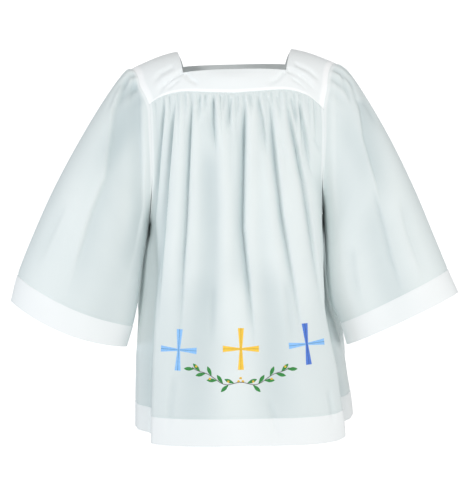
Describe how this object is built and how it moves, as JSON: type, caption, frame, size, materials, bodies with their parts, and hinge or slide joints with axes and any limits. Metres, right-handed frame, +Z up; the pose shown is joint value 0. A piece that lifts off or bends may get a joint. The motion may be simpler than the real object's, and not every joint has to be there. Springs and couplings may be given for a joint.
{
  "type": "surplice",
  "caption": "White liturgical surplice with a square-necked yoke, gathered front and back, wide bell sleeves and deep hem and cuff bands.",
  "frame": {"origin": "between the two neck points, at the height of the shoulder seams, where the wearer's shoulders carry the garment", "axes": "+Z up, -Y towards the front of the garment, +X towards the wearer's left"},
  "size_m": [0.9601, 0.2718, 0.8451],
  "materials": {
    "cloth": "plain white poly-cotton broadcloth, matt, one layer, a little see-through",
    "band_cloth": "the same white broadcloth where it lies double, in the yoke, the hem and the cuffs, so it looks whiter",
    "thread_light_blue": "rayon embroidery thread in satin stitch, light blue, soft sheen",
    "thread_gold": "rayon embroidery thread in satin stitch, gold, soft sheen",
    "thread_blue": "rayon embroidery thread in satin stitch, blue, soft sheen",
    "thread_green": "rayon embroidery thread in satin stitch, leaf green, soft sheen",
    "thread_brown": "rayon embroidery thread, dark brown stem stitch",
    "sewing_thread": "white polyester sewing thread"
  },
  "bodies": {
    "root": {"yoke_front": "band_cloth", "yoke_back": "band_cloth", "body_front": "cloth", "body_back": "cloth", "sleeve_right": "cloth", "sleeve_left": "cloth", "hem_band_front": "band_cloth", "hem_band_back": "band_cloth", "cuff_band_right": "band_cloth", "cuff_band_left": "band_cloth"}
  },
  "joints": []
}
